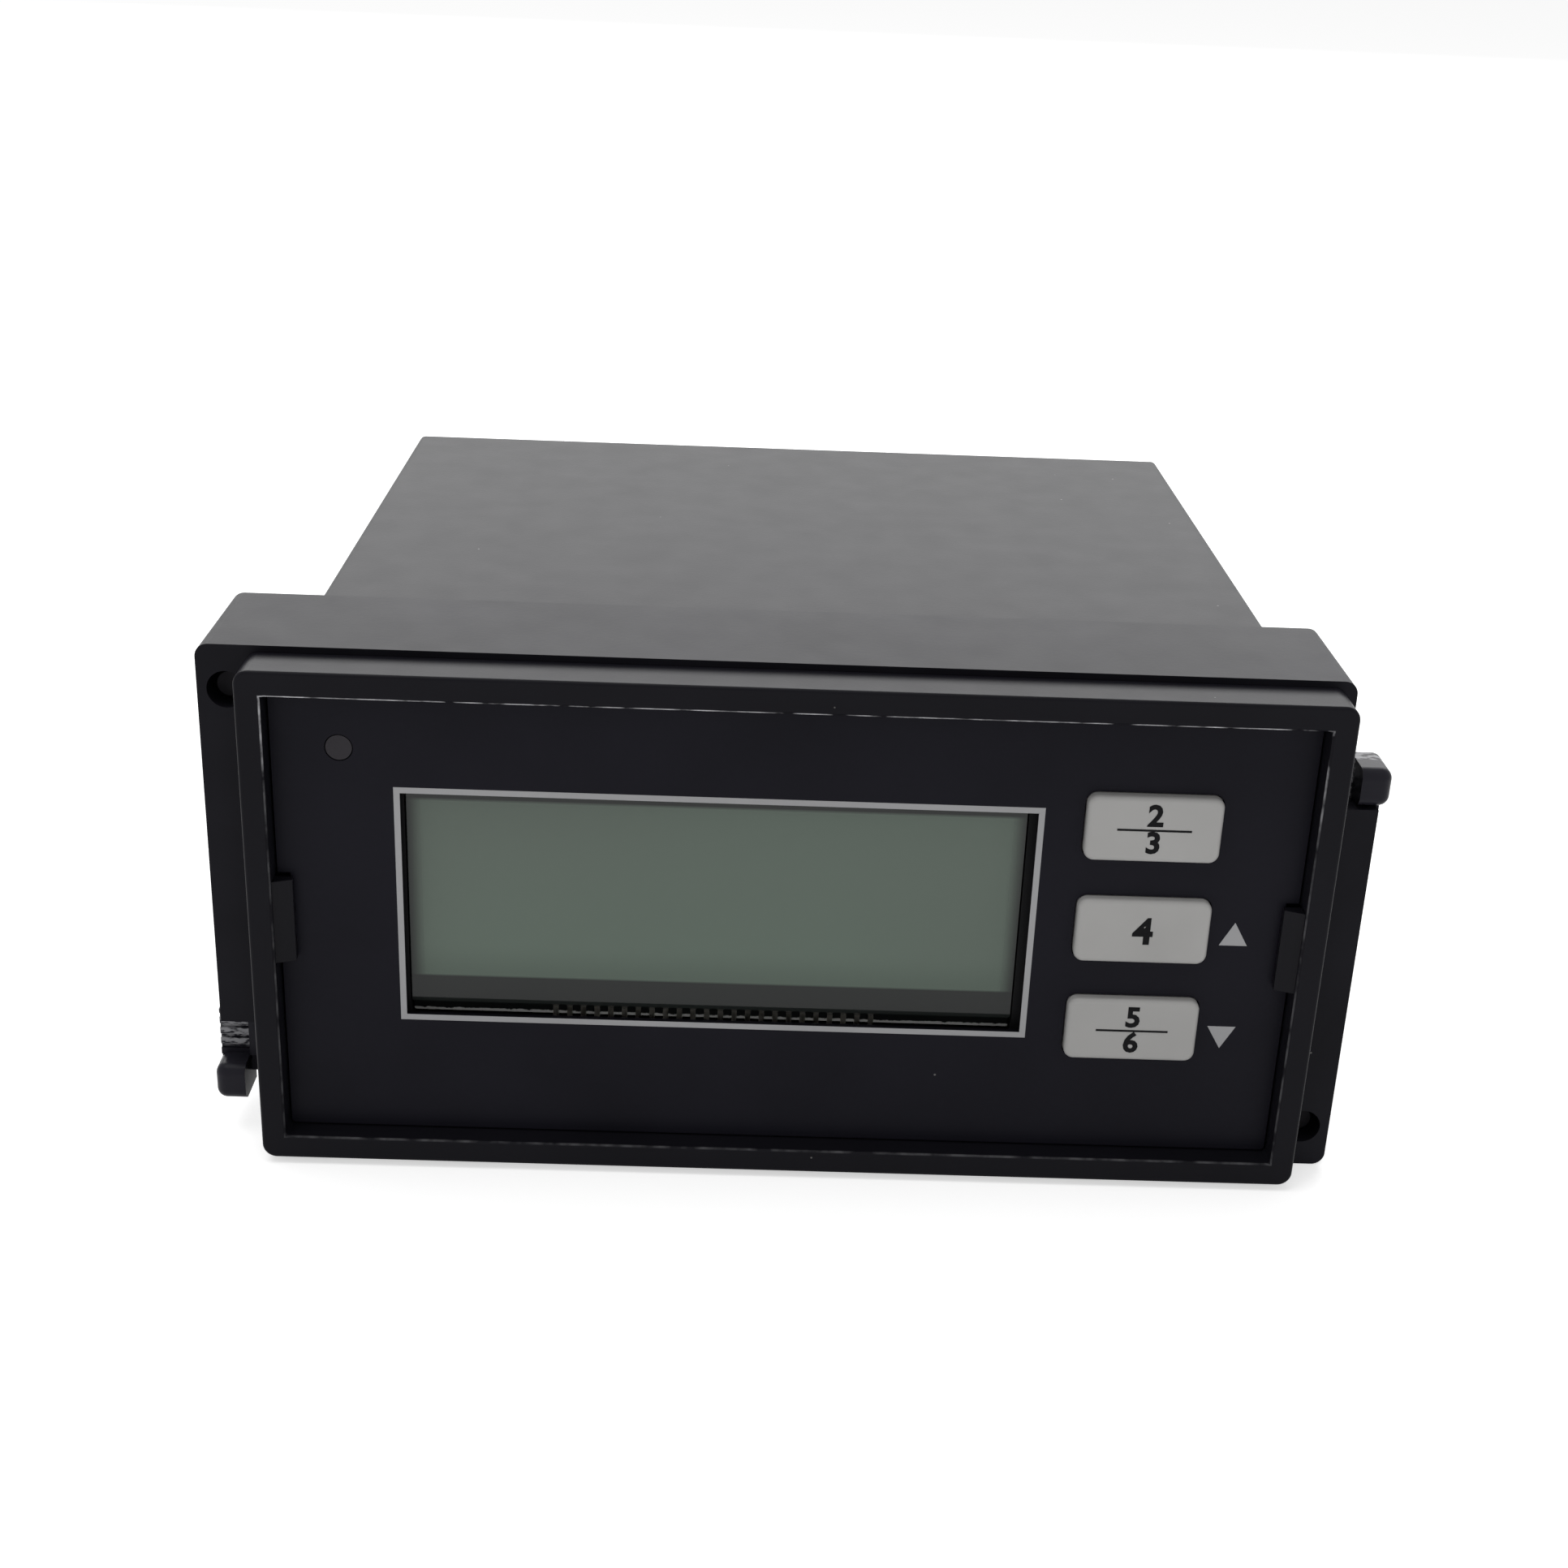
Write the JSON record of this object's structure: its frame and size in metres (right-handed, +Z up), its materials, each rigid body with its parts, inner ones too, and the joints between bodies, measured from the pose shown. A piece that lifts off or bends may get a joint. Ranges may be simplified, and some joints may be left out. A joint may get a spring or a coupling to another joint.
{
  "type": "conductivity controller",
  "caption": "Panel-mounted conductivity controller: a wide bezel with a window display and push keys, a deep case, a slide-on mounting ring and pull-off terminal plugs.",
  "frame": {"origin": "middle of the bezel's rear face, the plane that seats on the panel", "axes": "+X to the right seen from the front, +Y into the panel and along the case, +Z up"},
  "size_m": [0.1066, 0.1006, 0.0492],
  "materials": {
    "lamp_red": "gloss",
    "pipe_smoke": "gloss",
    "connector_black": "matt",
    "capacitor_sleeve": "gloss",
    "case_black": "satin",
    "catch_black": "satin",
    "screw_steel": "zinc plated",
    "backlight_white": "satin",
    "board_green": "satin",
    "display_glass": "polished",
    "display_glass_rear": "polished",
    "holder_black": "matt",
    "pin_tin": "tinned",
    "fascia_black": "satin",
    "film_black": "fine texture",
    "key_grey": "satin",
    "plunger_brown": "satin",
    "ring_black": "satin",
    "cover_black": "satin",
    "relay_shell": "gloss",
    "lock_black": "satin",
    "terminal_green": "satin",
    "coil_tape": "taped",
    "core_steel": "varnished"
  },
  "bodies": {
    "case": {"alarm_lamp": "lamp_red", "alarm_light_pipe": "pipe_smoke", "board_link_lower": "connector_black", "board_link_upper": "connector_black", "bulk_capacitor": "capacitor_sleeve", "buzzer": "connector_black", "case": "case_black", "cover_screws": "screw_steel", "display_backlight": "backlight_white", "display_board": "board_green", "display_glass_front": "display_glass", "display_glass_rear": "display_glass_rear", "display_holder": "holder_black", "display_pins": "pin_tin", "display_screws": "screw_steel", "fascia": "fascia_black", "film": "film_black", "header_pins_lower": "pin_tin", "header_pins_upper": "pin_tin", "key_switch_lower": "connector_black", "key_switch_middle": "connector_black", "key_switch_upper": "connector_black", "measuring_board": "board_green", "power_board": "board_green", "processor": "connector_black", "rear_cover": "cover_black", "relay_left": "relay_shell", "relay_right": "relay_shell", "terminal_header_lower": "terminal_green", "terminal_header_upper": "terminal_green", "transformer_coil": "coil_tape", "transformer_core": "core_steel"},
    "key_upper": {"key_upper": "key_grey", "key_plunger_upper": "plunger_brown"},
    "key_middle": {"key_middle": "key_grey", "key_plunger_middle": "plunger_brown"},
    "key_lower": {"key_lower": "key_grey", "key_plunger_lower": "plunger_brown"},
    "catch_right": {"catch_right": "catch_black"},
    "catch_left": {"catch_left": "catch_black"},
    "ring": {"mount_ring": "ring_black"},
    "lock_right": {"slide_lock_right": "lock_black"},
    "lock_left": {"slide_lock_left": "lock_black"},
    "screw_right": {"clamp_screw_right": "screw_steel"},
    "screw_left": {"clamp_screw_left": "screw_steel"},
    "plug_upper": {"terminal_plug_upper": "terminal_green", "plug_screws_upper": "screw_steel"},
    "plug_lower": {"terminal_plug_lower": "terminal_green", "plug_screws_lower": "screw_steel"}
  },
  "joints": [
    {"name": "key_upper_press", "type": "slide", "parent": "case", "child": "key_upper", "axis": [0, 1, 0], "range_m": [0, 0.00035], "stiffness_N_per_m": 3000, "springref_m": -0.0002},
    {"name": "key_middle_press", "type": "slide", "parent": "case", "child": "key_middle", "axis": [0, 1, 0], "range_m": [0, 0.00035], "stiffness_N_per_m": 3000, "springref_m": -0.0002},
    {"name": "key_lower_press", "type": "slide", "parent": "case", "child": "key_lower", "axis": [0, 1, 0], "range_m": [0, 0.00035], "stiffness_N_per_m": 3000, "springref_m": -0.0002},
    {"name": "catch_right_turn", "type": "hinge", "parent": "case", "child": "catch_right", "pos_m": [0.0464, -0.0015, 0], "axis": [0, 0, 1], "range_deg": [0, 15], "stiffness_Nm_per_rad": 0.02, "springref_deg": -5.73},
    {"name": "catch_left_turn", "type": "hinge", "parent": "case", "child": "catch_left", "pos_m": [-0.0464, -0.0015, 0], "axis": [0, 0, -1], "range_deg": [0, 15], "stiffness_Nm_per_rad": 0.02, "springref_deg": -5.73},
    {"name": "ring_slide", "type": "slide", "parent": "case", "child": "ring", "axis": [0, 1, 0], "range_m": [0, 0.088]},
    {"name": "lock_right_slide", "type": "slide", "parent": "ring", "child": "lock_right", "axis": [0, 0, 1], "range_m": [0, 0.005]},
    {"name": "lock_left_slide", "type": "slide", "parent": "ring", "child": "lock_left", "axis": [0, 0, -1], "range_m": [-0.0048, 0.0002]},
    {"name": "screw_right_advance", "type": "slide", "parent": "ring", "child": "screw_right", "axis": [0, -1, 0], "range_m": [-0.006, 0.0054]},
    {"name": "screw_left_advance", "type": "slide", "parent": "ring", "child": "screw_left", "axis": [0, -1, 0], "range_m": [-0.006, 0.0054]},
    {"name": "plug_upper_pull", "type": "slide", "parent": "case", "child": "plug_upper", "axis": [0, 1, 0], "range_m": [0, 0.012]},
    {"name": "plug_lower_pull", "type": "slide", "parent": "case", "child": "plug_lower", "axis": [0, 1, 0], "range_m": [0, 0.012]}
  ]
}
